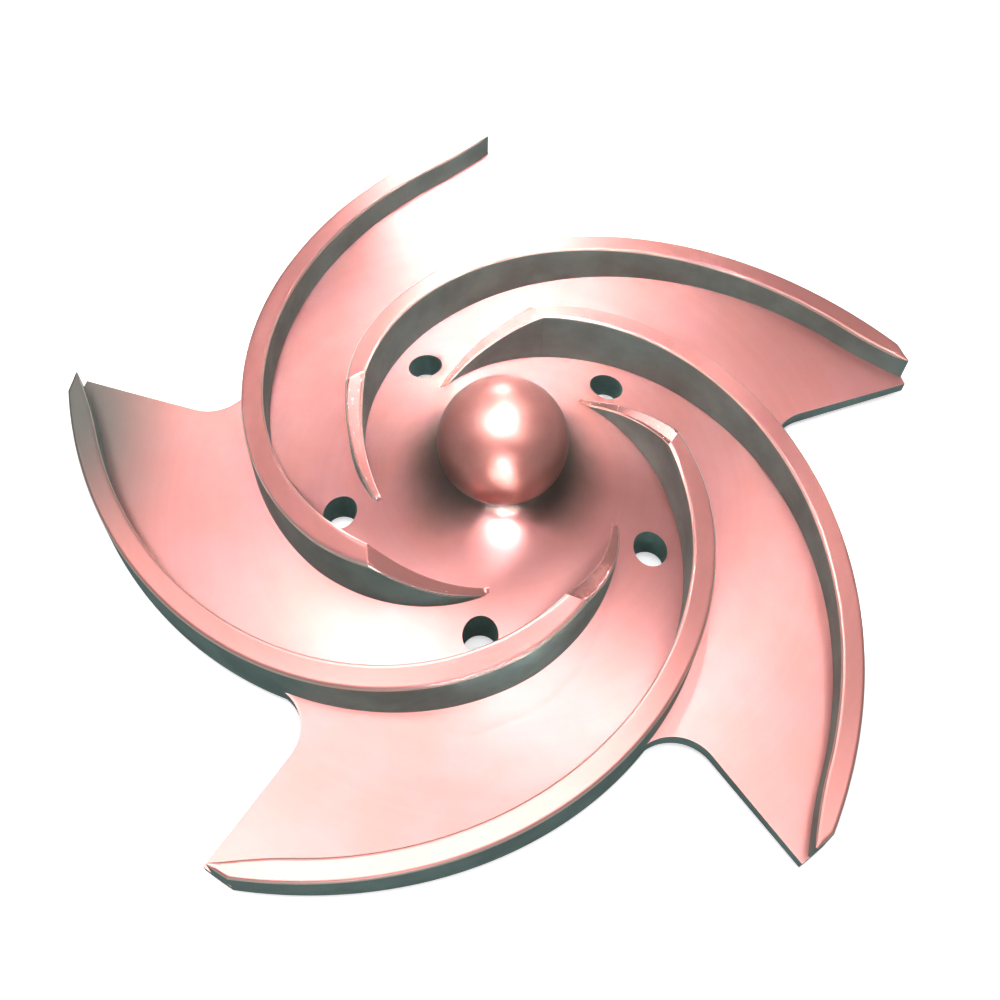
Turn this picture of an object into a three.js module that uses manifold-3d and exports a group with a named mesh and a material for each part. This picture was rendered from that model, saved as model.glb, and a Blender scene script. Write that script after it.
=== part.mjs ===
// An open pump impeller: five spiral vanes on a scalloped back shroud, with a ball-nosed hub.
// Millimetres, +Z up along the shaft axis, origin on the axis at the rear hub face.

import * as THREE from 'three';
import * as BufferGeometryUtils from 'three/addons/utils/BufferGeometryUtils.js';
import Module from 'manifold-3d';

const wasm = await Module();
wasm.setup();

const DEGREE = Math.PI / 180;

// Whole impeller
const TIP_RADIUS = 127;
const VANE_COUNT = 5;
const PITCH = (2 * Math.PI) / VANE_COUNT;
const FIRST_TIP_ANGLE = 90 * DEGREE;
const SEAT_GAP = 0.3;

// Vanes, seen from the front they spiral inwards against the clock
const VANE_ANGLE = 24.9 * DEGREE;
const VANE_THICKNESS = 6.3;
const SPIRAL_START_RADIUS = 122.8;
const TIP_BEND_ANGLE = 8 * DEGREE;
const TIP_ANGLE = -0.2 * DEGREE;
const KINK_ANGLE = 130 * DEGREE;
const WRAP_ANGLE = 173 * DEGREE;
const LEADING_EDGE_THICKNESS = 3.4;
const LEADING_EDGE_TILT = 24 * DEGREE;
const TIP_TOP_HEIGHT = 15.5;
const MIDDLE_TOP_HEIGHT = 16.8;
const KINK_TOP_HEIGHT = 35.8;
const KINK_RADIUS = 44.5;
const ROOT_TOP_HEIGHT = 44.8;
const ROOT_RADIUS = 20;
const OUTLINE_OVERRUN = 3 * DEGREE;

// Shroud
const BACK_HEIGHT = 3;
const RIM_HEIGHT = 6.8;
const DISH_HEIGHT = 10.1;
const DISH_RADIUS = 63.5;
const DISH_TANGENT = new THREE.Vector2(17.5, -2.8);
const RIM_TANGENT = new THREE.Vector2(14, -2.4);
const NOTCH_EDGE_ANGLE = -1.3 * DEGREE;
const NOTCH_FILLET_RADIUS = 12.4;
const NOTCH_FILLET_CENTRE = 92.6;
const NOTCH_FILLET_LIMIT = 220 * DEGREE;
const BALANCE_HOLE_RADIUS = 4.8;
const BALANCE_HOLE_CIRCLE = 44.8;
const BALANCE_HOLE_ANGLE = 27.5 * DEGREE;

// Hub and nose
const HUB_RADIUS = 34;
const NECK_RADIUS = 15.9;
const NECK_HEIGHT = 36.7;
const NECK_TANGENT = new THREE.Vector2(2.1, -12.7);
const NOSE_RADIUS = 17.3;
const NOSE_CENTRE_HEIGHT = 40.1;
const BOSS_RADIUS = 30;
const EDGE_BREAK = 1;
const BORE_RADIUS = 12.7;
const BORE_DEPTH = 31;

// Facets
const PLATE_FACETS = 120;
const HUB_FACETS = 60;
const HOLE_FACETS = 24;
const NOSE_FACETS = 12;
const FLARE_FACETS = 16;
const DISH_FACETS = 6;
const TOP_FACETS = 8;
const WALL_STEP = 4 * DEGREE;
const FILLET_STEP = 6 * DEGREE;
const CUT_HEIGHT = 80;

const roseMetal = new THREE.MeshStandardMaterial({ color: 0xe8a29a, roughness: 0.38, metalness: 0.85 });
const noseMetal = new THREE.MeshStandardMaterial({ color: 0xd9948d, roughness: 0.25, metalness: 0.9 });

// Solids and meshes

function solidFrom(geometry) {
  const bare = geometry.clone();
  bare.deleteAttribute('normal');
  bare.deleteAttribute('uv');
  const merged = BufferGeometryUtils.mergeVertices(bare, 1e-5);
  return new wasm.Manifold(new wasm.Mesh({
    numProp: 3,
    vertProperties: new Float32Array(merged.attributes.position.array),
    triVerts: new Uint32Array(merged.index.array),
  }));
}

function geometryFrom(solid) {
  const mesh = solid.getMesh();
  const geometry = new THREE.BufferGeometry();
  geometry.setAttribute('position', new THREE.BufferAttribute(mesh.vertProperties, 3));
  geometry.setIndex(new THREE.BufferAttribute(mesh.triVerts, 1));
  geometry.computeVertexNormals();
  return geometry;
}

// A lathe turns its profile about Y, so the turned shape is stood up along Z.
function turned(profile, facets) {
  const geometry = new THREE.LatheGeometry(profile, facets);
  geometry.rotateX(Math.PI / 2);
  return solidFrom(geometry);
}

function extruded(points, height) {
  const shape = new THREE.Shape(points);
  return solidFrom(new THREE.ExtrudeGeometry(shape, { depth: height, bevelEnabled: false }));
}

function polar(radius, angle) {
  return new THREE.Vector2(radius * Math.cos(angle), radius * Math.sin(angle));
}

// Shroud surface, from the neck of the hub out to the rim

const neckPoint = new THREE.Vector2(NECK_RADIUS, NECK_HEIGHT);
const dishPoint = new THREE.Vector2(DISH_RADIUS, DISH_HEIGHT);
const rimPoint = new THREE.Vector2(TIP_RADIUS, RIM_HEIGHT);
const flareCurve = new THREE.CubicBezierCurve(
  neckPoint,
  neckPoint.clone().add(NECK_TANGENT),
  dishPoint.clone().sub(DISH_TANGENT),
  dishPoint,
);
const dishCurve = new THREE.QuadraticBezierCurve(
  dishPoint,
  dishPoint.clone().add(RIM_TANGENT),
  rimPoint,
);
const surfacePoints = [
  ...flareCurve.getPoints(FLARE_FACETS),
  ...dishCurve.getPoints(DISH_FACETS).slice(1),
];

function surfaceHeight(radius) {
  const outer = Math.max(1, surfacePoints.findIndex((point) => point.x >= radius - 1e-6));
  const a = surfacePoints[outer - 1];
  const b = surfacePoints[outer];
  return THREE.MathUtils.mapLinear(radius, a.x, b.x, a.y, b.y);
}

function surfaceBetween(innerRadius, outerRadius) {
  const inside = surfacePoints.filter((point) => point.x > innerRadius && point.x < outerRadius);
  return [
    new THREE.Vector2(innerRadius, surfaceHeight(innerRadius)),
    ...inside,
    new THREE.Vector2(outerRadius, surfaceHeight(outerRadius)),
  ];
}

// Vane walls in plan, as radii at an angle from the vane's own tip

const HALF_WIDTH = VANE_THICKNESS / 2 / Math.cos(VANE_ANGLE);

function spiralRadius(angle) {
  return SPIRAL_START_RADIUS * Math.exp(-Math.tan(VANE_ANGLE) * angle);
}

function halfWidth(angle) {
  const along = THREE.MathUtils.clamp((angle - KINK_ANGLE) / (WRAP_ANGLE - KINK_ANGLE), 0, 1);
  return HALF_WIDTH * THREE.MathUtils.lerp(1, LEADING_EDGE_THICKNESS / VANE_THICKNESS, along);
}

function innerWallRadius(angle) {
  if (angle < TIP_BEND_ANGLE) {
    const bend = spiralRadius(TIP_BEND_ANGLE);
    return THREE.MathUtils.mapLinear(angle, TIP_BEND_ANGLE, TIP_ANGLE, bend, TIP_RADIUS);
  }
  return spiralRadius(angle) + HALF_WIDTH - halfWidth(angle);
}

function outerWallRadius(angle) {
  return spiralRadius(angle) + HALF_WIDTH + halfWidth(angle);
}

function wallPoints(wallRadius, from, to) {
  const steps = Math.round((to - from) / WALL_STEP);
  const points = [];
  for (let step = 0; step <= steps; step += 1) {
    const angle = THREE.MathUtils.lerp(from, to, step / steps);
    points.push(polar(wallRadius(angle), angle));
  }
  return points;
}

// Where the outer wall runs out through the tip circle
function outerTipAngle() {
  return Math.log(SPIRAL_START_RADIUS / (TIP_RADIUS - 2 * HALF_WIDTH)) / Math.tan(VANE_ANGLE);
}

function vaneOutline() {
  const inner = wallPoints(innerWallRadius, TIP_ANGLE - OUTLINE_OVERRUN, WRAP_ANGLE);
  const outer = wallPoints(outerWallRadius, outerTipAngle() - OUTLINE_OVERRUN, WRAP_ANGLE);
  return [...inner.reverse(), ...outer];
}

// Vane solid: its plan outline, between the shroud surface and the turned top. Past the kink
// the leading edge slopes down to the hub as a ridge with a tilted face on each side.

function vaneEnvelope() {
  const top = new THREE.QuadraticBezierCurve(
    new THREE.Vector2(KINK_RADIUS, KINK_TOP_HEIGHT),
    new THREE.Vector2((KINK_RADIUS + TIP_RADIUS) / 2, MIDDLE_TOP_HEIGHT),
    new THREE.Vector2(TIP_RADIUS, TIP_TOP_HEIGHT),
  ).getPoints(TOP_FACETS);
  const seat = surfaceBetween(ROOT_RADIUS, TIP_RADIUS);
  const lifted = seat.map((point) => new THREE.Vector2(point.x, point.y + SEAT_GAP));
  const profile = [...lifted, ...top.reverse(), new THREE.Vector2(ROOT_RADIUS, ROOT_TOP_HEIGHT)];
  profile.push(profile[0]);
  return turned(profile, PLATE_FACETS);
}

function leadingEdgeCut(tilt) {
  const kinkRadius = spiralRadius(KINK_ANGLE) + HALF_WIDTH;
  const endRadius = spiralRadius(WRAP_ANGLE) + HALF_WIDTH;
  const kink = polar(kinkRadius, KINK_ANGLE);
  const end = polar(endRadius, WRAP_ANGLE);
  const endHeight = surfaceHeight(endRadius);
  const run = end.clone().sub(kink);
  const heading = Math.atan2(run.y, run.x);
  const slope = Math.atan2(KINK_TOP_HEIGHT - endHeight, run.length());
  const size = CUT_HEIGHT;
  const geometry = new THREE.BoxGeometry(size, size, size);
  geometry.translate(size / 2, 0, size / 2);
  geometry.rotateX(tilt);
  geometry.rotateY(slope);
  geometry.rotateZ(heading);
  geometry.translate(kink.x, kink.y, KINK_TOP_HEIGHT);
  return solidFrom(geometry);
}

function vaneSolid() {
  const outline = extruded(vaneOutline(), CUT_HEIGHT);
  return vaneEnvelope()
    .intersect(outline)
    .subtract(leadingEdgeCut(LEADING_EDGE_TILT))
    .subtract(leadingEdgeCut(-LEADING_EDGE_TILT));
}

// Shroud solid: a dished plate cut to five lobes. Each lobe follows its vane's outer wall out to
// the tip, then a straight radial edge runs back in and turns into the next wall by a fillet.

function filletPoint(turn) {
  const local = new THREE.Vector2(
    NOTCH_FILLET_CENTRE + NOTCH_FILLET_RADIUS * Math.cos(turn),
    -NOTCH_FILLET_RADIUS + NOTCH_FILLET_RADIUS * Math.sin(turn),
  );
  return local.rotateAround(new THREE.Vector2(), NOTCH_EDGE_ANGLE);
}

function nextWallAngle(point) {
  return Math.atan2(point.y, point.x) + PITCH;
}

function insideNextWall(point) {
  return point.length() < outerWallRadius(nextWallAngle(point));
}

function lobeOutline() {
  const fillet = [];
  let turn = 90 * DEGREE;
  while (!insideNextWall(filletPoint(turn)) && turn < NOTCH_FILLET_LIMIT) {
    fillet.push(filletPoint(turn));
    turn += FILLET_STEP;
  }
  const meeting = filletPoint(turn - FILLET_STEP / 2);
  const wallStart = nextWallAngle(meeting);
  const wall = wallPoints(outerWallRadius, NOTCH_EDGE_ANGLE, wallStart).reverse();
  return [...wall, ...fillet];
}

function shroudOutline() {
  const points = [];
  for (let index = 0; index < VANE_COUNT; index += 1) {
    const turnedLobe = lobeOutline().map((point) => (
      point.clone().rotateAround(new THREE.Vector2(), -index * PITCH)
    ));
    points.push(...turnedLobe);
  }
  return points.reverse();
}

function shroudSolid() {
  const innerRadius = HUB_RADIUS + SEAT_GAP;
  const top = surfaceBetween(innerRadius, TIP_RADIUS);
  const profile = [
    new THREE.Vector2(innerRadius, BACK_HEIGHT),
    new THREE.Vector2(TIP_RADIUS, BACK_HEIGHT),
    ...top.reverse(),
    new THREE.Vector2(innerRadius, BACK_HEIGHT),
  ];
  let plate = turned(profile, PLATE_FACETS).intersect(extruded(shroudOutline(), CUT_HEIGHT));
  for (let index = 0; index < VANE_COUNT; index += 1) {
    const centre = polar(BALANCE_HOLE_CIRCLE, BALANCE_HOLE_ANGLE - index * PITCH);
    const hole = new THREE.CylinderGeometry(
      BALANCE_HOLE_RADIUS, BALANCE_HOLE_RADIUS, CUT_HEIGHT, HOLE_FACETS,
    );
    hole.rotateX(Math.PI / 2);
    hole.translate(centre.x, centre.y, 0);
    plate = plate.subtract(solidFrom(hole));
  }
  return plate;
}

// Hub: a turned flare with a blind shaft bore from the rear

function hubSolid() {
  const profile = [
    new THREE.Vector2(0, BORE_DEPTH),
    new THREE.Vector2(BORE_RADIUS, BORE_DEPTH),
    new THREE.Vector2(BORE_RADIUS, EDGE_BREAK),
    new THREE.Vector2(BORE_RADIUS + EDGE_BREAK, 0),
    new THREE.Vector2(BOSS_RADIUS - EDGE_BREAK, 0),
    new THREE.Vector2(BOSS_RADIUS, EDGE_BREAK),
    new THREE.Vector2(BOSS_RADIUS, BACK_HEIGHT),
    new THREE.Vector2(HUB_RADIUS, BACK_HEIGHT),
    ...surfaceBetween(NECK_RADIUS, HUB_RADIUS).reverse(),
    new THREE.Vector2(0, NECK_HEIGHT),
  ];
  return turned(profile, HUB_FACETS);
}

function noseSolid() {
  const start = Math.asin((NECK_HEIGHT - NOSE_CENTRE_HEIGHT) / NOSE_RADIUS);
  const profile = [new THREE.Vector2(0, NECK_HEIGHT)];
  for (let step = 0; step < NOSE_FACETS; step += 1) {
    const turn = THREE.MathUtils.lerp(start, Math.PI / 2, step / NOSE_FACETS);
    const point = polar(NOSE_RADIUS, turn);
    profile.push(new THREE.Vector2(point.x, NOSE_CENTRE_HEIGHT + point.y));
  }
  profile.push(new THREE.Vector2(0, NOSE_CENTRE_HEIGHT + NOSE_RADIUS));
  return turned(profile, HUB_FACETS);
}

// Assembly

const impeller = new THREE.Group();
impeller.name = 'pump_impeller';

const hub = new THREE.Mesh(geometryFrom(hubSolid()), roseMetal);
hub.name = 'hub';
impeller.add(hub);

const nose = new THREE.Mesh(geometryFrom(noseSolid()), noseMetal);
nose.name = 'nose_cap';
impeller.add(nose);

// The vane ring holds everything that is laid out from the first vane's tip.
const vaneRing = new THREE.Group();
vaneRing.rotation.z = FIRST_TIP_ANGLE;
impeller.add(vaneRing);

const shroud = new THREE.Mesh(geometryFrom(shroudSolid()), roseMetal);
shroud.name = 'back_shroud';
vaneRing.add(shroud);

const vaneGeometry = geometryFrom(vaneSolid());
for (let index = 0; index < VANE_COUNT; index += 1) {
  const vane = new THREE.Mesh(vaneGeometry, roseMetal);
  vane.name = `vane_${index + 1}`;
  vane.rotation.z = -index * PITCH;
  vaneRing.add(vane);
}

export default impeller;
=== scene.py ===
import math

import bmesh
import bpy
from mathutils import Matrix, Vector


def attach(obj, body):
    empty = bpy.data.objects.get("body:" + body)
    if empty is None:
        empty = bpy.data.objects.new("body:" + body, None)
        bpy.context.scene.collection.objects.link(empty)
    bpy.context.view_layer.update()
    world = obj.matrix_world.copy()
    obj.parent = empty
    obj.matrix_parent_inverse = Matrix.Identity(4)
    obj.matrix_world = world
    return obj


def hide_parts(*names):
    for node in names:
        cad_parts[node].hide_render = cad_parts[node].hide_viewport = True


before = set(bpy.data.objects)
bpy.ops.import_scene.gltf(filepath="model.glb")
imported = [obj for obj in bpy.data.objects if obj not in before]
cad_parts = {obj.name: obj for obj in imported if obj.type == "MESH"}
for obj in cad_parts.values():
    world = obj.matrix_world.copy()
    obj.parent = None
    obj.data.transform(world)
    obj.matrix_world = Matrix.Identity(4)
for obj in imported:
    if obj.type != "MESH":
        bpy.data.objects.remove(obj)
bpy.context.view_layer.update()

MM = 0.001
DEGREE = math.pi / 180


# Sizes in millimetres. Angles in degrees, seen from the front, with each vane's own tip at 0

FULL_RADIUS = 127
TIP_RADIUS = 126.88
VANE_COUNT = 5
PITCH = 360 / VANE_COUNT
FIRST_TIP_ANGLE = 90

VANE_ANGLE = 24.9
VANE_THICKNESS = 6.3
SPIRAL_START_RADIUS = 122.79
TIP_BEND_ANGLE = 8
TIP_ANGLE = -0.2
TAPER_ANGLE = 116
SLOPE_START = 120
KINK_START = 127
KINK_SLANT = 6
KINK_SLANT_REACH = 25
WRAP_ANGLE = 173
LEADING_EDGE_THICKNESS = 2.0
LEADING_FOOT_RADIUS = 34.2
LEADING_FOOT_ANGLE = 172.7
LEADING_FOOT_HEIGHT = 19.2
CREST_ROUND = 0.85
LEADING_ROUND = 0.55
ROUND_BLEND_ANGLE = 4
LEAST_STAND = 0.05
FOOT_DEPTH = 0.4

BACK_HEIGHT = 3
RIM_MIDDLE_HEIGHT = 5.2
RIM_HEIGHT = 6.8
RIM_ROUND = 0.4
RIM_SUPPORT = 0.9
DISH_HEIGHT = 10.1
DISH_RADIUS = 63.5
NOTCH_EDGE_ANGLE = -1.3
LOBE_CORNER_ANGLE = -1.1
NOTCH_FILLET_RADIUS = 12.4
NOTCH_FILLET_CENTRE = 92.6
HOLE_RADIUS = 4.8
HOLE_CIRCLE = 44.8
HOLE_ANGLE = 27.5
DRILL_LENGTH = 60

HUB_RADIUS = 34
NECK_RADIUS = 15.9
NECK_HEIGHT = 36.7
NECK_SEAM_RADIUS = 15.2
NECK_SEAM_HEIGHT = 36.2
CORE_RADIUS = 15.6
CORE_HEIGHT = 36.5
NOSE_RADIUS = 17.25
NOSE_CENTRE_HEIGHT = 40.1
NOSE_FOOT_HEIGHT = 36.1
BOSS_RADIUS = 30
BORE_RADIUS = 12.7
BORE_DEPTH = 31
RIDGE_RADIUS = 12.3
GROOVE_RADIUS = 13.05
GROOVE_PITCH = 1.8
GROOVE_COUNT = 14
PLAIN_BORE_LENGTH = 3
END_CHAMFER = 0.5

HALF_WIDTH = VANE_THICKNESS / 2 / math.cos(VANE_ANGLE * DEGREE)
SPIRAL_RATE = math.tan(VANE_ANGLE * DEGREE)


# Curves

def polar(radius, angle):
    return Vector((radius * math.cos(angle * DEGREE), radius * math.sin(angle * DEGREE)))


def bezier(points, t):
    while len(points) > 1:
        points = [a.lerp(b, t) for a, b in zip(points, points[1:])]
    return points[0]


# Each curve is one bezier, given by its points of radius and height

NECK_TOP = Vector((NECK_RADIUS, NECK_HEIGHT))
DISH_START = Vector((DISH_RADIUS, DISH_HEIGHT))
FLARE = [NECK_TOP, Vector((18, 24)), Vector((46, 12.9)), DISH_START]
DISH = [DISH_START, Vector((77.5, 7.7)), Vector((FULL_RADIUS, RIM_HEIGHT))]
VANE_TOP = [Vector((44.5, 35.8)), Vector((85.75, 16.8)), Vector((FULL_RADIUS, 15.5))]


def clamped(value):
    return min(1, max(0, value))


def halved(low, high, before, halvings):
    """The place between low and high where before() turns false."""
    for _ in range(halvings):
        middle = (low + high) / 2
        if before(middle):
            low = middle
        else:
            high = middle
    return low


def height_on(curve, radius):
    """The height of a curve at a radius. Past its ends it goes straight on."""
    place = halved(0, 1, lambda t: bezier(curve, t).x < radius, halvings=30)
    point = bezier(curve, place)
    step = 0.01
    ahead = bezier(curve, min(1, place + step))
    behind = bezier(curve, max(0, place - step))
    slope = (ahead.y - behind.y) / (ahead.x - behind.x)
    return point.y + slope * (radius - point.x)


def surface_height(radius):
    return height_on(FLARE if radius < DISH_RADIUS else DISH, radius)


def spiral_radius(angle):
    return SPIRAL_START_RADIUS * math.exp(-SPIRAL_RATE * angle * DEGREE)


def half_width(angle):
    along = clamped((angle - TAPER_ANGLE) / (WRAP_ANGLE - TAPER_ANGLE))
    return HALF_WIDTH * (1 + along * (LEADING_EDGE_THICKNESS / VANE_THICKNESS - 1))


def inner_wall(angle):
    if angle < TIP_BEND_ANGLE:
        along = (TIP_BEND_ANGLE - angle) / (TIP_BEND_ANGLE - TIP_ANGLE)
        return spiral_radius(angle) + along ** 2 * (TIP_RADIUS - spiral_radius(TIP_ANGLE))
    return spiral_radius(angle) + HALF_WIDTH - half_width(angle)


def outer_wall(angle):
    return min(TIP_RADIUS, spiral_radius(angle) + HALF_WIDTH + half_width(angle))


# Where a vane's outer wall reaches the tip radius
OUTER_TIP_ANGLE = math.log(SPIRAL_START_RADIUS / (TIP_RADIUS - 2 * HALF_WIDTH)) / SPIRAL_RATE / DEGREE


# Mesh helpers

SHARP_ANGLE = 35
VANE_SHARP_ANGLE = 33
NOSE_SHARP_ANGLE = 50


def first_ring(bm, places, worn_and_glint=None):
    """Starts an empty bmesh with a closed ring of edges through the places.

    Each vertex keeps its place number.
    """
    number = bm.verts.layers.int.new("number")
    bm.verts.layers.float.new("worn_and_glint")
    made = bmesh.ops.create_circle(bm, segments=len(places), radius=1)["verts"]
    for index, vertex in enumerate(made):
        vertex[number] = index
    move_ring(bm, made, places, worn_and_glint)
    return bm.edges[:]


def move_ring(bm, vertices, places, worn_and_glint):
    number = bm.verts.layers.int["number"]
    wear_and_glint = bm.verts.layers.float["worn_and_glint"]
    for vertex in vertices:
        vertex.co = places[vertex[number]] * MM
        vertex[wear_and_glint] = worn_and_glint[vertex[number]] if worn_and_glint else 0


def next_ring(bm, edges, places, worn_and_glint=None):
    """Extrudes the last ring and moves the new one to its places."""
    grown = bmesh.ops.extrude_edge_only(bm, edges=edges)["geom"]
    fresh = {item for item in grown if isinstance(item, bmesh.types.BMVert)}
    move_ring(bm, fresh, places, worn_and_glint)
    return [
        item for item in grown
        if isinstance(item, bmesh.types.BMEdge) and set(item.verts) <= fresh
    ]


def edge_number(bm, edge):
    number = bm.verts.layers.int["number"]
    return tuple(sorted(vertex[number] for vertex in edge.verts))


def soften(bm, edges, width):
    """Rounds the edges and marks the rounding for the cream of rubbed edges with a painted highlight,
    half so where it meets other faces.
    """
    worn_and_glint = bm.verts.layers.float["worn_and_glint"]
    made = bmesh.ops.bevel(
        bm, geom=edges, offset=width * MM, offset_type="OFFSET", affect="EDGES",
        segments=3, profile=0.5, material=-1, clamp_overlap=True,
    )
    round_faces = set(made["faces"])
    for vertex in made["verts"]:
        inside = all(face in round_faces for face in vertex.link_faces)
        vertex[worn_and_glint] = 1.0 if inside else 0.5


def shade(bm, sharp_angle):
    """Smooth faces, with the steep edges and those marked as seams kept sharp."""
    for face in bm.faces:
        face.smooth = True
    for edge in bm.edges:
        flat = len(edge.link_faces) == 2 and edge.calc_face_angle(0) < sharp_angle * DEGREE
        edge.smooth = flat and not edge.seam


def finished(bm, name, material, sharp_angle=SHARP_ANGLE):
    """Merges doubles, turns the faces outwards, shades them and makes the object."""
    bmesh.ops.remove_doubles(bm, verts=bm.verts, dist=1e-7)
    bmesh.ops.recalc_face_normals(bm, faces=bm.faces)
    shade(bm, sharp_angle)
    mesh = bpy.data.meshes.new(name)
    bm.to_mesh(mesh)
    bm.free()
    mesh.materials.append(material)
    piece = bpy.data.objects.new(name, mesh)
    bpy.context.collection.objects.link(piece)
    return piece


def turned(profile, steps):
    """A profile of (radius, height) turned a full turn about the shaft axis."""
    bm = bmesh.new()
    vertices = [bm.verts.new(Vector((radius, 0, height)) * MM) for radius, height in profile]
    for a, b in zip(vertices, vertices[1:]):
        bm.edges.new((a, b))
    bmesh.ops.spin(
        bm, geom=bm.verts[:] + bm.edges[:], cent=(0, 0, 0), axis=(0, 0, 1),
        angle=2 * math.pi, steps=steps, use_merge=True,
    )
    return bm


# Shader nodes

def feed(tree, socket, value):
    """Links a socket to another node's output, or gives it a number, a colour or a vector."""
    if isinstance(value, bpy.types.NodeSocket):
        tree.links.new(value, socket)
    elif isinstance(value, tuple):
        socket.default_value = (*value, 1)
    else:
        socket.default_value = value


def math_node(tree, operation, *values):
    node = tree.nodes.new("ShaderNodeMath")
    node.operation = operation
    for socket, value in zip(node.inputs, values):
        feed(tree, socket, value)
    return node.outputs[0]


def vector_node(tree, operation, first, second):
    node = tree.nodes.new("ShaderNodeVectorMath")
    node.operation = operation
    feed(tree, node.inputs[0], first)
    feed(tree, node.inputs[1], second)
    return node.outputs


def ramp_node(tree, value, low, high, to_low=0, to_high=1):
    """Eases from to_low to to_high while the value goes from low to high."""
    node = tree.nodes.new("ShaderNodeMapRange")
    node.interpolation_type = "SMOOTHSTEP"
    titles = ("Value", "From Min", "From Max", "To Min", "To Max")
    for title, part in zip(titles, (value, low, high, to_low, to_high)):
        feed(tree, node.inputs[title], part)
    return node.outputs[0]


def noise_node(tree, source, scale, detail, roughness=0.55, dimensions="3D"):
    """Noise over a place or, with one dimension, over a distance."""
    node = tree.nodes.new("ShaderNodeTexNoise")
    node.noise_dimensions = dimensions
    feed(tree, node.inputs["W" if dimensions == "1D" else "Vector"], source)
    for title, value in (("Scale", scale), ("Detail", detail), ("Roughness", roughness)):
        feed(tree, node.inputs[title], value)
    return node.outputs["Fac"]


def colour_mix(tree, factor, first, second, blend="MIX"):
    node = tree.nodes.new("ShaderNodeMix")
    node.data_type = "RGBA"
    node.blend_type = blend
    for index, value in ((0, factor), (6, first), (7, second)):
        feed(tree, node.inputs[index], value)
    return node.outputs[2]


def value_mix(tree, factor, first, second):
    node = tree.nodes.new("ShaderNodeMix")
    node.data_type = "FLOAT"
    for index, value in ((0, factor), (2, first), (3, second)):
        feed(tree, node.inputs[index], value)
    return node.outputs[0]


def object_place(tree):
    return tree.nodes.new("ShaderNodeTexCoord").outputs["Object"]


def attribute(tree, name):
    node = tree.nodes.new("ShaderNodeAttribute")
    node.attribute_name = name
    return node.outputs["Fac"]


def axes_of(tree, vector):
    node = tree.nodes.new("ShaderNodeSeparateXYZ")
    tree.links.new(vector, node.inputs[0])
    return node.outputs


def shaft_distance(tree, axes):
    """The distance from the shaft axis."""
    across = math_node(tree, "POWER", axes["X"], 2)
    along = math_node(tree, "POWER", axes["Y"], 2)
    return math_node(tree, "SQRT", math_node(tree, "ADD", across, along))


# Shader groups. Scales are in cycles to the metre, and distances and places in metres

DRIFT_SCALE = 18
DRIFT = 0.0009
RING_SCALE = 2600
BAND_SCALE = 210
DEPTH_TRAVEL = -0.8
MOTTLE_SCALE = 55
WEAR_AND_GLINT_SCALE = 130
WEAR_AND_GLINT_SPAN = (0.25, 0.6)
LEAST_WEAR_AND_GLINT = 0.85
# Noise and side spread of the painted shade under the ball nose
NECK_SHADE_SCALE = 120
NECK_SHADE_DRIFT = 0.003
NECK_SHADE_SIDES = (0.22, 0.85)
# How far the painted shade at the left lobe's tip reaches
TIP_SHADE_REACH = (0.006, 0.042)

# The painted shade at the left lobe's tip is a circle in a space with Y shortened, so on the piece it is
# longer along Y
TIP_SHADE_SPACE = Vector((1, 0.6, 1))
TIP_SHADE_CENTRE = Vector((-0.124, 0.016, 0.012))


def new_group(name, inputs, outputs):
    """A node group whose sockets are all numbers, with the sockets of its two inner ends."""
    group = bpy.data.node_groups.new(name, "ShaderNodeTree")
    for title, value in inputs.items():
        socket = group.interface.new_socket(title, in_out="INPUT", socket_type="NodeSocketFloat")
        socket.default_value = value
    for title in outputs:
        group.interface.new_socket(title, in_out="OUTPUT", socket_type="NodeSocketFloat")
    inside = group.nodes.new("NodeGroupInput").outputs
    return group, inside, group.nodes.new("NodeGroupOutput").inputs


def turning_marks_group():
    """Fine rings and wider bands about the shaft axis, as a lathe tool leaves them."""
    group, _, out = new_group("turning_marks", {}, ["Rings", "Bands"])
    place = object_place(group)
    axes = axes_of(group, place)
    drift = math_node(group, "MULTIPLY", noise_node(group, place, DRIFT_SCALE, 2), DRIFT)
    spread = math_node(group, "ADD", shaft_distance(group, axes), drift)
    down = math_node(group, "MULTIPLY", axes["Z"], DEPTH_TRAVEL)
    travel = math_node(group, "ADD", spread, down)
    feed(group, out["Rings"], noise_node(group, travel, RING_SCALE, 3, 0.7, "1D"))
    feed(group, out["Bands"], noise_node(group, travel, BAND_SCALE, 3, 0.6, "1D"))
    return group


def cast_skin_group():
    """The sandy skin and slow mottling of a casting."""
    group, inside, out = new_group("cast_skin", {"Grain Scale": 1400}, ["Grain", "Mottle"])
    place = object_place(group)
    feed(group, out["Grain"], noise_node(group, place, inside["Grain Scale"], 5, 0.65))
    feed(group, out["Mottle"], noise_node(group, place, MOTTLE_SCALE, 5, 0.6))
    return group


def steep_face_group():
    """1 on upright walls, 0 on faces that look up or down.

    Start and Full are the upward part of a face's normal at 0 and at 1.
    """
    group, inside, out = new_group("steep_face", {"Start": 0.55, "Full": 0.25}, ["Steep"])
    normal = group.nodes.new("ShaderNodeNewGeometry").outputs["Normal"]
    upward = math_node(group, "ABSOLUTE", axes_of(group, normal)["Z"])
    feed(group, out["Steep"], ramp_node(group, upward, inside["Full"], inside["Start"], 1, 0))
    return group


def edge_wear_and_glint_group():
    """The first output marks the rounded edges that are rubbed bright and given a painted highlight,
    unevenly along their length.

    Ground marks the leading edges, which are dressed smooth after casting.
    """
    group, inside, out = new_group("edge_wear_and_glint", {"Start": 0.4, "Full": 0.8}, ["Wear", "Ground"])
    worn_and_glint = ramp_node(group, attribute(group, "worn_and_glint"), inside["Start"], inside["Full"])
    noise = noise_node(group, object_place(group), WEAR_AND_GLINT_SCALE, 3)
    uneven = ramp_node(group, noise, *WEAR_AND_GLINT_SPAN, LEAST_WEAR_AND_GLINT, 1)
    feed(group, out["Wear"], math_node(group, "MULTIPLY", worn_and_glint, uneven))
    feed(group, out["Ground"], attribute(group, "ground"))
    return group


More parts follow.
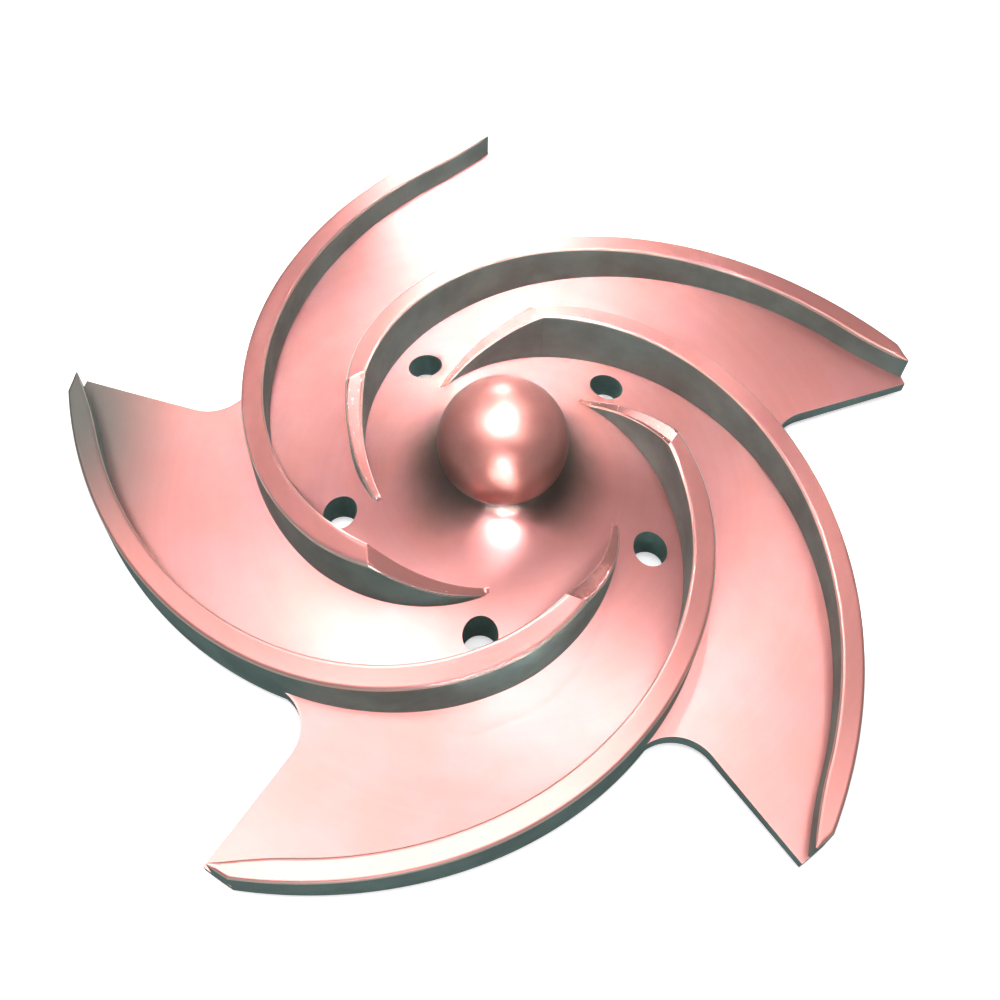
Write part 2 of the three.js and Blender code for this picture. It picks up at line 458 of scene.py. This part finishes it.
def neck_shade_group():
    """The first output is painted shade in the hollow under the ball nose, which spreads out to both
    sides.

    The second is painted shade at the grey tip of the lobe on the left.
    """
    sizes = {"Full Radius": 0.0175, "Clean Radius": 0.0205, "Side Spread": 0.013}
    group, inside, out = new_group("neck_painted_shade", sizes, ["Patina", "Tip Shade"])
    place = object_place(group)
    shortened = vector_node(group, "MULTIPLY", place, TIP_SHADE_SPACE)["Vector"]
    apart = vector_node(group, "DISTANCE", shortened, TIP_SHADE_CENTRE)["Value"]
    feed(group, out["Tip Shade"], ramp_node(group, apart, *TIP_SHADE_REACH, 1, 0))
    axes = axes_of(group, place)
    radius = shaft_distance(group, axes)
    sideways = math_node(group, "DIVIDE", math_node(group, "ABSOLUTE", axes["X"]), radius)
    side = ramp_node(group, sideways, *NECK_SHADE_SIDES)
    clean = math_node(group, "MULTIPLY_ADD", side, inside["Side Spread"], inside["Clean Radius"])
    noise = noise_node(group, place, NECK_SHADE_SCALE, 3)
    uneven = math_node(group, "ADD", radius, math_node(group, "MULTIPLY", noise, NECK_SHADE_DRIFT))
    feed(group, out["Patina"], ramp_node(group, uneven, inside["Full Radius"], clean, 1, 0))
    return group


def place_group(tree, group, **values):
    """Places a group in a material, with its own values, and gives its outputs."""
    node = tree.nodes.new("ShaderNodeGroup")
    node.node_tree = group
    for title, value in values.items():
        node.inputs[title.replace("_", " ")].default_value = value
    return node.outputs


TURNING = turning_marks_group()
SKIN = cast_skin_group()
STEEP = steep_face_group()
WEAR_AND_GLINT = edge_wear_and_glint_group()
NECK_SHADE = neck_shade_group()


# Materials

ROSE_DEEP = (0.875, 0.350, 0.308)
ROSE_PALE = (0.88, 0.385, 0.368)
NOSE_DEEP = (0.76, 0.29, 0.25)
NOSE_PALE = (0.86, 0.37, 0.32)
MACHINED_DEEP = (0.70, 0.29, 0.24)
MACHINED_PALE = (0.82, 0.38, 0.32)
# The dark grey-green of upright faces is painted shade, laid over their rough cast skin
WALL_GREY = (0.190, 0.300, 0.270)
WALL_DARK = (0.128, 0.202, 0.182)
# Cream of the rounded edges: rubbed metal, with a painted highlight on it
EDGE_WEAR_AND_GLINT = (0.93, 0.74, 0.64)
# Painted shade: the dark under the ball nose and low on its flanks
PAINTED_SHADE_TONE = (0.075, 0.090, 0.075)
# Painted shade: the grey at the tip of the lobe on the left
TIP_SHADE_TONE = (0.27, 0.25, 0.22)

# The span that most of the mottling and the bands fall in, and that of the finer rings
NOISE_SPAN = (0.3, 0.7)
RING_SPAN = (0.25, 0.75)

CAST_GRAIN_SCALE = 1500
BAND_TONES = (0.985, 1.01)
SATIN_ROUGHNESS = (0.32, 0.38)
POLISHED_ROUGHNESS = (0.34, 0.38)
MACHINED_ROUGHNESS = (0.28, 0.42)
GROUND_ROUGHNESS = 0.2
CAST_ROUGHNESS = 0.62
BRONZE_METALLIC = 0.85
# How strong the painted shade is in the hollow under the ball nose
NECK_SHADE_AMOUNT = 0.92
# Strength, heights and sides of the painted shade low on the ball's flanks
NOSE_SHADE_AMOUNT = 0.85
NOSE_SHADE_HEIGHTS = (0.056, 0.040)
NOSE_SHADE_SIDES = (0.003, 0.015)


def new_material(name):
    material = bpy.data.materials.new(name)
    material.use_nodes = True
    tree = material.node_tree
    tree.nodes.clear()
    out = tree.nodes.new("ShaderNodeOutputMaterial")
    surface = tree.nodes.new("ShaderNodeBsdfPrincipled")
    tree.links.new(surface.outputs[0], out.inputs["Surface"])
    return material, tree, surface


def ring_sheen(tree, surface, strength, rotation=0):
    """The sheen of fine rings about the shaft axis, which draws highlights out."""
    tangent = tree.nodes.new("ShaderNodeTangent")
    tangent.direction_type = "RADIAL"
    tangent.axis = "Z"
    tree.links.new(tangent.outputs[0], surface.inputs["Tangent"])
    surface.inputs["Anisotropic"].default_value = strength
    surface.inputs["Anisotropic Rotation"].default_value = rotation


def bump(tree, surface, layers):
    """Chains bump nodes: each layer is a height, its strength and its depth in metres."""
    normal = None
    for height, strength, depth in layers:
        node = tree.nodes.new("ShaderNodeBump")
        node.inputs["Strength"].default_value = strength
        node.inputs["Distance"].default_value = depth
        tree.links.new(height, node.inputs["Height"])
        if normal is not None:
            tree.links.new(normal, node.inputs["Normal"])
        normal = node.outputs[0]
    tree.links.new(normal, surface.inputs["Normal"])


def inverse(tree, value):
    return math_node(tree, "SUBTRACT", 1, value)


def mottled(tree, skin, first, second):
    return colour_mix(tree, ramp_node(tree, skin["Mottle"], *NOISE_SPAN), first, second)


def satin_rose_bronze(name, start, full, deep):
    """Turned rose bronze on top, rough cast skin on the walls and cream edges between.
    The walls' dark grey-green is painted shade, and the cream edges are rubbed metal with a painted
    highlight.

    Start and full set how steep a face is where the dark wall tone begins and where it is whole.
    Deep is the part of the pale mottling that the deep rose hides.
    """
    material, tree, surface = new_material(name)
    marks = place_group(tree, TURNING)
    skin = place_group(tree, SKIN, Grain_Scale=CAST_GRAIN_SCALE)
    steep = place_group(tree, STEEP, Start=start, Full=full)["Steep"]
    edges = place_group(tree, WEAR_AND_GLINT)
    wear_and_glint, ground = edges["Wear"], edges["Ground"]
    painted_shades = place_group(tree, NECK_SHADE)

    tone = mottled(tree, skin, ROSE_DEEP, ROSE_PALE)
    tone = colour_mix(tree, deep, tone, ROSE_DEEP)
    bands = ramp_node(tree, marks["Bands"], *NOISE_SPAN, *BAND_TONES)
    tone = colour_mix(tree, 1, tone, bands, "MULTIPLY")
    # Painted shade in the hollow under the ball nose, reaching further out at the sides
    neck_shade = math_node(tree, "MULTIPLY", painted_shades["Patina"], NECK_SHADE_AMOUNT)
    tone = colour_mix(tree, neck_shade, tone, PAINTED_SHADE_TONE)
    # Painted shade at the tip of the lobe on the left
    tone = colour_mix(tree, painted_shades["Tip Shade"], tone, TIP_SHADE_TONE)
    # Upright faces take the dark grey-green: painted shade over a rough cast skin
    body = colour_mix(tree, steep, tone, mottled(tree, skin, WALL_DARK, WALL_GREY))
    # The rounded edges take the cream: rubbed metal, with a painted highlight
    feed(tree, surface.inputs["Base Color"], colour_mix(tree, wear_and_glint, body, EDGE_WEAR_AND_GLINT))

    dull = math_node(tree, "MULTIPLY", steep, inverse(tree, wear_and_glint))
    feed(tree, surface.inputs["Metallic"], value_mix(tree, dull, BRONZE_METALLIC, 0))
    satin = ramp_node(tree, marks["Rings"], *RING_SPAN, *SATIN_ROUGHNESS)
    satin = value_mix(tree, ground, satin, GROUND_ROUGHNESS)
    feed(tree, surface.inputs["Roughness"], value_mix(tree, dull, satin, CAST_ROUGHNESS))
    ring_sheen(tree, surface, 0.2, rotation=0.25)

    turned_face = inverse(tree, math_node(tree, "MAXIMUM", steep, ground))
    rings = math_node(tree, "MULTIPLY", marks["Rings"], turned_face)
    cast_face = math_node(tree, "MULTIPLY", steep, inverse(tree, ground))
    grain = math_node(tree, "MULTIPLY", skin["Grain"], cast_face)
    bump(tree, surface, [(rings, 0.12, 0.00006), (grain, 0.5, 0.00025)])
    return material


def polished_rose_bronze():
    """The ball nose: smooth, with faint turning marks, and painted shade low on both flanks."""
    material, tree, surface = new_material("rose_bronze_polished")
    marks = place_group(tree, TURNING)
    tone = mottled(tree, place_group(tree, SKIN), NOSE_DEEP, NOSE_PALE)
    axes = axes_of(tree, object_place(tree))
    # Painted shade low on the ball's flanks: darker towards the bottom and the sides
    low = ramp_node(tree, axes["Z"], *NOSE_SHADE_HEIGHTS, 0, NOSE_SHADE_AMOUNT)
    side = ramp_node(tree, math_node(tree, "ABSOLUTE", axes["X"]), *NOSE_SHADE_SIDES)
    tone = colour_mix(tree, math_node(tree, "MULTIPLY", low, side), tone, PAINTED_SHADE_TONE)
    feed(tree, surface.inputs["Base Color"], tone)
    surface.inputs["Metallic"].default_value = BRONZE_METALLIC
    gloss = ramp_node(tree, marks["Rings"], *RING_SPAN, *POLISHED_ROUGHNESS)
    feed(tree, surface.inputs["Roughness"], gloss)
    bump(tree, surface, [(marks["Rings"], 0.02, 0.00003)])
    return material


def machined_rose_bronze():
    """The rear boss and the bore: bare metal with coarser turning marks than the front."""
    material, tree, surface = new_material("rose_bronze_machined")
    marks = place_group(tree, TURNING)
    tone = mottled(tree, place_group(tree, SKIN), MACHINED_DEEP, MACHINED_PALE)
    feed(tree, surface.inputs["Base Color"], tone)
    surface.inputs["Metallic"].default_value = 1
    satin = ramp_node(tree, marks["Rings"], *RING_SPAN, *MACHINED_ROUGHNESS)
    feed(tree, surface.inputs["Roughness"], satin)
    ring_sheen(tree, surface, 0.6)
    bump(tree, surface, [(marks["Rings"], 0.2, 0.00008)])
    return material


# Shroud with the flare of the hub

# The angle on the hub circle that each station of a lobe's outline is joined to
HUB_ANGLES = [(0, 59.5), (1, 14), (2, 11), (3, 1), (4, -12.5)]

# The steps of the outline's four stretches: outer wall, tip, free edge and fillet
OUTLINE_STEPS = (58, 7, 14, 18)
FILLET_START = 90

# The rings of the mesh, and where those of the plate and the back lie between hub and outline
FLARE_RINGS = 22
FLARE_CROWDING = 1.5
PLATE_RINGS = 44
PLATE_SHARE = 0.985
BACK_SHARES = (0.8, 0.55, 0.3, 0.1, 0)


def inner_angle(position):
    """The angle on the hub circle that an outline place is joined to."""
    for (start, from_angle), (end, to_angle) in zip(HUB_ANGLES, HUB_ANGLES[1:]):
        if position <= end:
            return from_angle + (to_angle - from_angle) * (position - start) / (end - start)
    return HUB_ANGLES[-1][1]


def fillet_place(turn):
    local = Vector((
        NOTCH_FILLET_CENTRE + NOTCH_FILLET_RADIUS * math.cos(turn * DEGREE),
        -NOTCH_FILLET_RADIUS + NOTCH_FILLET_RADIUS * math.sin(turn * DEGREE),
    ))
    local.rotate(Matrix.Rotation(NOTCH_EDGE_ANGLE * DEGREE, 2))
    return local


def angle_of(place):
    return math.degrees(math.atan2(place.y, place.x))


def fillet_end():
    """Where the fillet runs into the outer wall of the next vane."""
    def outside(turn):
        place = fillet_place(turn)
        return place.length >= outer_wall(angle_of(place) + PITCH)

    return halved(FILLET_START, 200, outside, halvings=40)


def lobe_outline():
    """Places along one lobe, each with its station number, in plan with the tip at angle 0."""
    end = fillet_end()
    wall_start = angle_of(fillet_place(end)) + PITCH
    corner = polar(TIP_RADIUS, LOBE_CORNER_ANGLE)

    def wall(along):
        angle = wall_start + (OUTER_TIP_ANGLE - wall_start) * along
        return polar(outer_wall(angle), angle)

    def tip(along):
        return polar(TIP_RADIUS, OUTER_TIP_ANGLE + (LOBE_CORNER_ANGLE - OUTER_TIP_ANGLE) * along)

    def free_edge(along):
        return corner.lerp(fillet_place(FILLET_START), along)

    def fillet(along):
        return fillet_place(FILLET_START + (end - FILLET_START) * along)

    return [
        (station + step / steps, place(step / steps))
        for station, (place, steps) in enumerate(zip((wall, tip, free_edge, fillet), OUTLINE_STEPS))
        for step in range(steps)
    ]


def shroud_piece(material):
    """One shell of rings from the neck over the dished plate and the rim to the back."""
    outline, circle, stations = [], [], []
    for lobe in range(VANE_COUNT):
        turn = Matrix.Rotation((FIRST_TIP_ANGLE - PITCH * lobe) * DEGREE, 2)
        for station, place in lobe_outline():
            outline.append(turn @ place)
            circle.append(turn @ polar(HUB_RADIUS, inner_angle(station)))
            stations.append(station)

    def level(plan, height=None):
        """The plan's places on the dished surface or, with a height, all at that height."""
        return [Vector((p.x, p.y, surface_height(p.length) if height is None else height)) for p in plan]

    def between(share):
        return [a.lerp(b, share) for a, b in zip(circle, outline)]

    def inset(distance):
        return [b + (a - b).normalized() * distance for a, b in zip(circle, outline)]

    def round_ring(radius, height=None):
        return level([p.normalized() * radius for p in circle], height)

    bm = bmesh.new()
    ring = first_ring(bm, round_ring(NECK_SEAM_RADIUS, NECK_SEAM_HEIGHT))
    for step in range(FLARE_RINGS):
        out = (step / FLARE_RINGS) ** FLARE_CROWDING
        ring = next_ring(bm, ring, round_ring(NECK_RADIUS + (HUB_RADIUS - NECK_RADIUS) * out))
    ring = next_ring(bm, ring, level(circle))
    for step in range(1, PLATE_RINGS):
        ring = next_ring(bm, ring, level(between(PLATE_SHARE * step / PLATE_RINGS)))
    ring = next_ring(bm, ring, level(inset(RIM_SUPPORT)))
    rim = next_ring(bm, ring, level(outline))
    middle = next_ring(bm, rim, level(outline, RIM_MIDDLE_HEIGHT))
    foot = next_ring(bm, middle, level(outline, BACK_HEIGHT))
    ring = next_ring(bm, foot, level(inset(RIM_SUPPORT), BACK_HEIGHT))
    for share in BACK_SHARES:
        ring = next_ring(bm, ring, level(between(share), BACK_HEIGHT))
    ring = next_ring(bm, ring, round_ring(BOSS_RADIUS, BACK_HEIGHT))
    ring = next_ring(bm, ring, round_ring(NECK_SEAM_RADIUS, BACK_HEIGHT + 1))
    bmesh.ops.bridge_loops(bm, edges=ring + [e for e in bm.edges if e.is_boundary and e not in ring])

    def open_edge(edge):
        """True where no vane stands along the rim."""
        first, last = edge_number(bm, edge)
        closes_ring = last - first > 1
        return stations[last if closes_ring else first] >= 1

    soften(bm, [edge for edge in rim if open_edge(edge)] + foot, RIM_ROUND)
    return finished(bm, "lobed_shroud", material)


def drilled(piece, material):
    """Cuts the balance holes through the shroud."""
    bm = bmesh.new()
    for lobe in range(VANE_COUNT):
        centre = polar(HOLE_CIRCLE, FIRST_TIP_ANGLE + HOLE_ANGLE - PITCH * lobe) * MM
        bmesh.ops.create_cone(
            bm, cap_ends=True, segments=64, radius1=HOLE_RADIUS * MM, radius2=HOLE_RADIUS * MM,
            depth=DRILL_LENGTH * MM, matrix=Matrix.Translation((centre.x, centre.y, 0)),
        )
    drill = finished(bm, "drill", material)
    cut = piece.modifiers.new("balance_holes", "BOOLEAN")
    cut.operation = "DIFFERENCE"
    cut.solver = "EXACT"
    cut.object = drill
    shape = bpy.data.meshes.new_from_object(piece.evaluated_get(bpy.context.evaluated_depsgraph_get()))
    piece.modifiers.clear()
    bm = bmesh.new()
    bm.from_mesh(shape)
    shade(bm, SHARP_ANGLE)
    bm.to_mesh(piece.data)
    bm.free()
    bpy.data.meshes.remove(shape)
    bpy.data.objects.remove(drill)


# Vanes

def crest_place(radius, angle):
    """A place on the vane's top where it isn't sloped down to the leading edge."""
    return Vector((*polar(radius, angle), height_on(VANE_TOP, radius)))


# The angles round a crest, with a support line before and after them
CREST_ARC = (-1, 0, 30, 60, 90, 91)
ROUND_SHARE = 0.3
SUPPORT_SHARE = 1.4

KINK_INNER = crest_place(inner_wall(KINK_START), KINK_START)
KINK_OUTER = crest_place(outer_wall(KINK_START + KINK_SLANT), KINK_START + KINK_SLANT)
LEADING_FOOT = Vector((*polar(LEADING_FOOT_RADIUS, LEADING_FOOT_ANGLE), LEADING_FOOT_HEIGHT))


def leading_edge_height(place):
    """The height of the sloping leading edge over a place in plan."""
    normal = (KINK_OUTER - KINK_INNER).cross(LEADING_FOOT - KINK_INNER)
    offset = place - KINK_INNER.xy
    return KINK_INNER.z - (normal.x * offset.x + normal.y * offset.y) / normal.z


def vane_top(radius, angle):
    """The height of the vane's top: its crest, or the leading edge where that is lower."""
    height = height_on(VANE_TOP, radius)
    if angle > SLOPE_START:
        height = min(height, leading_edge_height(polar(radius, angle)))
    return max(height, surface_height(radius) + LEAST_STAND)


def vane_section(angle):
    """Places around the vane's section from the inner foot over the top.

    Near the kink the section is slanted, so that one of them lies along the kink.
    """
    slant = KINK_SLANT * max(0, 1 - abs(angle - KINK_START) / KINK_SLANT_REACH)
    inner, outer = inner_wall(angle), outer_wall(angle + slant)
    past_kink = clamped((angle - KINK_START) / ROUND_BLEND_ANGLE)
    size = CREST_ROUND + (LEADING_ROUND - CREST_ROUND) * past_kink
    size = min(size, ROUND_SHARE * (outer - inner))
    support = SUPPORT_SHARE * size
    section = []

    def turn_at(radius):
        return angle + slant * (radius - inner) / (outer - inner)

    def top_at(radius):
        return vane_top(radius, turn_at(radius))

    def add(radius, height):
        place = polar(radius, turn_at(radius))
        section.append(Vector((place.x, place.y, max(height, surface_height(radius) - FOOT_DEPTH))))

    def add_crest(wall, way, arc):
        """The rounding from an upright wall to the top, with a support line on each side."""
        beside = wall + way * support
        for part in arc:
            if part < 0:
                add(wall, top_at(wall + way * size) - support)
            elif part > 90:
                add(beside, top_at(beside))
            else:
                reach = way * size * (1 - math.cos(part * DEGREE))
                add(wall + reach, top_at(wall + reach) - size * (1 - math.sin(part * DEGREE)))

    add(inner, 0)
    add_crest(inner, 1, CREST_ARC)
    middle = (inner + outer) / 2
    add(middle, top_at(middle))
    add_crest(outer, -1, CREST_ARC[::-1])
    add(outer, 0)
    return section


# How much each place of the section takes of the cream of rubbed edges with a painted highlight: the
# steep parts of both crests
CREST_WEAR_AND_GLINT = [0, 0, 0.7, 1, 0.4, 0, 0]
VANE_WEAR_AND_GLINT = CREST_WEAR_AND_GLINT + [0] + CREST_WEAR_AND_GLINT[::-1]


def section_angles():
    """Close together at the tip and on both sides of the kink."""
    angles = [0.1, 0.6, 1.3, 2.1, 3.0] + [OUTER_TIP_ANGLE + 0.8 * step for step in range(7)]
    angles += range(10, 126)
    angles += [126.3, 126.7, KINK_START, 127.3, 127.7]
    angles += range(129, 173)
    return angles + [WRAP_ANGLE]


def vane_shape():
    """One vane, swept along its spiral, with its tip at angle 0. Past the kink it is ground."""
    bm = bmesh.new()
    ground = bm.verts.layers.float.new("ground")
    angles = section_angles()
    ring = first_ring(bm, vane_section(angles[0]), VANE_WEAR_AND_GLINT)
    first = ring
    for angle in angles[1:]:
        ring = next_ring(bm, ring, vane_section(angle), VANE_WEAR_AND_GLINT)
        for edge in ring:
            edge.seam = angle == KINK_START
            for vertex in edge.verts:
                vertex[ground] = float(angle > KINK_START)
    bmesh.ops.holes_fill(bm, edges=first + ring, sides=0)
    return bm


def vane_pieces(material):
    shape = vane_shape()
    for index in range(VANE_COUNT):
        bm = shape.copy()
        turn = Matrix.Rotation((FIRST_TIP_ANGLE - PITCH * index) * DEGREE, 3, "Z")
        bmesh.ops.rotate(bm, verts=bm.verts, cent=(0, 0, 0), matrix=turn)
        name = f"spiral_vane_{index + 1}"
        piece = finished(bm, name, material, sharp_angle=VANE_SHARP_ANGLE)
        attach(piece, "root")
        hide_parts(f"vane_{index + 1}")
    shape.free()


# Hub and nose

# The corners of one ring groove: radius, and how far down the pitch
GROOVE = [(GROOVE_RADIUS, 0.25), (GROOVE_RADIUS, 0.40), (RIDGE_RADIUS, 0.85), (RIDGE_RADIUS, 1)]


def bore_profile():
    """The blind bore, from its end to the lowest of its ring grooves."""
    end = BORE_DEPTH + END_CHAMFER
    start = BORE_DEPTH - PLAIN_BORE_LENGTH
    profile = [(0, end), (RIDGE_RADIUS - END_CHAMFER, end), (RIDGE_RADIUS, BORE_DEPTH)]
    profile.append((RIDGE_RADIUS, start))
    for groove in range(GROOVE_COUNT):
        for radius, share in GROOVE:
            profile.append((radius, start - (groove + share) * GROOVE_PITCH))
    return profile


def hub_piece(material):
    """The bore, its mouth, the hub face, the boss and the core, with broken corners."""
    profile = bore_profile()
    profile += [
        (BORE_RADIUS, 1.6), (BORE_RADIUS + 0.1, 1.1), (BORE_RADIUS + 1, 0.15), (BORE_RADIUS + 1.3, 0),
        (BORE_RADIUS + 4, 0), (21, 0), (BOSS_RADIUS - 1.4, 0), (BOSS_RADIUS - 1, 0.1),
        (BOSS_RADIUS - 0.1, 1), (BOSS_RADIUS, 1.3), (BOSS_RADIUS, BACK_HEIGHT + 1),
        (18, 16), (CORE_RADIUS, 33), (CORE_RADIUS, CORE_HEIGHT), (0, CORE_HEIGHT),
    ]
    bm = turned(profile, steps=128)
    piece = finished(bm, "hub_boss", material)
    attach(piece, "root")
    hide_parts("hub")


def nose_piece(material):
    start = math.degrees(math.asin((NOSE_FOOT_HEIGHT - NOSE_CENTRE_HEIGHT) / NOSE_RADIUS))
    steps = 72
    profile = [(0, NOSE_FOOT_HEIGHT)]
    for step in range(steps):
        place = polar(NOSE_RADIUS, start + (90 - start) * step / steps)
        profile.append((place.x, place.y + NOSE_CENTRE_HEIGHT))
    profile.append((0, NOSE_CENTRE_HEIGHT + NOSE_RADIUS))
    bm = turned(profile, steps=144)
    piece = finished(bm, "ball_nose", material, sharp_angle=NOSE_SHARP_ANGLE)
    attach(piece, "root")
    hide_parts("nose_cap")


# Studio. Its places and distances are in metres

CAMERA_PLACE = (-0.0134, -0.1869, 0.3641)
CAMERA_TARGET = (0, 0, 0.0068)
CAMERA_ROLL = 2.75
LENS = 51.46
LAMP_COLOUR = (0.94, 0.97, 1.0)
SOFT_LAMP_DISTANCE = 1.6
POOL_LAMP_DISTANCE = 0.75
POOL_LAMP_SIZE = 0.04
POOL_ON_NOSE_HEIGHT = 0.0461
SKY_RISE = (0.1, 0.7)
SKY_STRENGTH = (0.08, 0.37)
BACKDROP_TONE = 0.93
FLOOR_SIZE = 4
FLOOR_TONE = 0.88
FLOOR_GLOW = 0.55
REFLECTED_FLOOR_TONE = 0.3


def grey(tone):
    return (tone, tone, tone, 1)


def aim(thing, place, target, roll=0.0):
    thing.location = place
    facing = (Vector(target) - Vector(place)).to_track_quat("-Z", "Y")
    thing.rotation_euler = (facing.to_matrix() @ Matrix.Rotation(roll, 3, "Z")).to_euler()


def lamp(name, place, target, size, power, spread=180):
    """A round soft lamp. A small spread keeps its light to a pool about the target."""
    data = bpy.data.lights.new(name, "AREA")
    data.shape = "DISK"
    data.size = size
    data.energy = power
    data.color = LAMP_COLOUR
    data.spread = spread * DEGREE
    light = bpy.data.objects.new(name, data)
    bpy.context.collection.objects.link(light)
    aim(light, place, target)
    light.visible_camera = False


def direction(azimuth, elevation):
    level = polar(math.cos(elevation * DEGREE), azimuth)
    return Vector((*level, math.sin(elevation * DEGREE)))


def seen_directly(tree, output, seen, reflected):
    """Gives one shader to what the camera sees directly, and the other to every other ray."""
    path = tree.nodes.new("ShaderNodeLightPath")
    mix = tree.nodes.new("ShaderNodeMixShader")
    tree.links.new(path.outputs["Is Camera Ray"], mix.inputs[0])
    tree.links.new(reflected, mix.inputs[1])
    tree.links.new(seen, mix.inputs[2])
    tree.links.new(mix.outputs[0], output)


# Soft lamps: azimuth, elevation, half the angle that they cover, brightness
SOFT_LAMPS = [
    (180, 72, 8.5, 10.0), (45, 72, 8.5, 4.3), (150, 60, 8, 3.8), (315, 72, 7, 6.6), (330, 60, 8, 1.9),
    (225, 68, 7.5, 2.8), (270, 82, 6, 12.5), (90, 20, 9, 9.5), (270, 25, 5.5, 20.0),
]
# Pools of light: radius and azimuth of the middle, then the lamp's azimuth, elevation, spread and power
POOLS = [
    (36, 98, 90, 84, 6, 0.0580), (45, 90, 90, 90, 8, 0.0560), (90, 90, 90, 90, 8, 0.0540),
    (90, 60, 90, 90, 8, 0.0200), (90, 0, 90, 90, 8, 0.0155), (90, 150, 90, 90, 8, 0.0250),
    (45, 180, 90, 90, 8, 0.0150), (48, 40, 90, 90, 7, 0.0180), (45, 315, 90, 67, 8, 0.0078),
    (26, 269, 262, 26, 2.4, 0.0011), (26, 270, 280, 26, 2.4, 0.0011),
    (0, 270, 270, 1, 1.6, 0.0034), (33, 21, 90, 8, 3, 0.0002), (33, 309, 50, 14, 3, 0.0003),
    (114, 96, 90, 76, 4, 0.0180),
]


def studio_lamps():
    for index, (azimuth, elevation, half_angle, brightness) in enumerate(SOFT_LAMPS):
        place = direction(azimuth, elevation) * SOFT_LAMP_DISTANCE
        size = 2 * SOFT_LAMP_DISTANCE * math.tan(half_angle * DEGREE)
        power = brightness * math.pi * math.pi * (size / 2) ** 2
        lamp(f"soft_lamp_{index + 1}", place, (0, 0, 0), size, power)
    for index, (radius, angle, azimuth, elevation, spread, power) in enumerate(POOLS):
        height = surface_height(radius) * MM if radius > NOSE_RADIUS else POOL_ON_NOSE_HEIGHT
        target = Vector((*polar(radius * MM, angle), height))
        place = target + direction(azimuth, elevation) * POOL_LAMP_DISTANCE
        lamp(f"pool_{index + 1}", place, target, POOL_LAMP_SIZE, power, spread)


def studio_sky():
    """Soft light from above that falls away to dim sides, and a pale backdrop behind it all."""
    world = bpy.data.worlds.new("studio_sky")
    bpy.context.scene.world = world
    world.use_nodes = True
    tree = world.node_tree
    tree.nodes.clear()
    out = tree.nodes.new("ShaderNodeOutputWorld")
    axes = axes_of(tree, tree.nodes.new("ShaderNodeTexCoord").outputs["Generated"])
    light = tree.nodes.new("ShaderNodeBackground")
    feed(tree, light.inputs["Strength"], ramp_node(tree, axes["Z"], *SKY_RISE, *SKY_STRENGTH))
    pale = tree.nodes.new("ShaderNodeBackground")
    pale.inputs["Color"].default_value = grey(BACKDROP_TONE)
    seen_directly(tree, out.inputs["Surface"], pale.outputs[0], light.outputs[0])


def pale_floor():
    """Pale where it is seen, and dim to every other ray, so that the metal keeps its contrast."""
    material, tree, surface = new_material("pale_floor")
    surface.inputs["Base Color"].default_value = grey(FLOOR_TONE)
    surface.inputs["Emission Color"].default_value = grey(1)
    surface.inputs["Emission Strength"].default_value = FLOOR_GLOW
    surface.inputs["Roughness"].default_value = 0.9
    surface.inputs["Specular IOR Level"].default_value = 0.1
    dim = tree.nodes.new("ShaderNodeBsdfDiffuse")
    dim.inputs["Color"].default_value = grey(REFLECTED_FLOOR_TONE)
    out = tree.get_output_node("CYCLES")
    seen_directly(tree, out.inputs["Surface"], surface.outputs[0], dim.outputs[0])
    bm = bmesh.new()
    bmesh.ops.create_grid(bm, x_segments=1, y_segments=1, size=FLOOR_SIZE)
    floor = finished(bm, "floor", material)


def camera():
    """The photograph's viewpoint, with a longer lens and the part in the middle."""
    data = bpy.data.cameras.new("camera")
    data.sensor_width = 36
    data.lens = LENS
    data.clip_start = 0.01
    view = bpy.data.objects.new("camera", data)
    bpy.context.collection.objects.link(view)
    aim(view, CAMERA_PLACE, CAMERA_TARGET, roll=CAMERA_ROLL * DEGREE)
    bpy.context.scene.camera = view


shroud_satin = satin_rose_bronze("rose_bronze_shroud", start=0.4, full=0.15, deep=0.2)
vane_satin = satin_rose_bronze("rose_bronze_vane", start=0.93, full=0.5, deep=0.8)
shroud = shroud_piece(shroud_satin)
drilled(shroud, shroud_satin)
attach(shroud, "root")
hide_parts("back_shroud")
vane_pieces(vane_satin)
hub_piece(machined_rose_bronze())
nose_piece(polished_rose_bronze())

studio_sky()
pale_floor()
camera()
studio_lamps()
bpy.context.scene.view_settings.view_transform = "Standard"
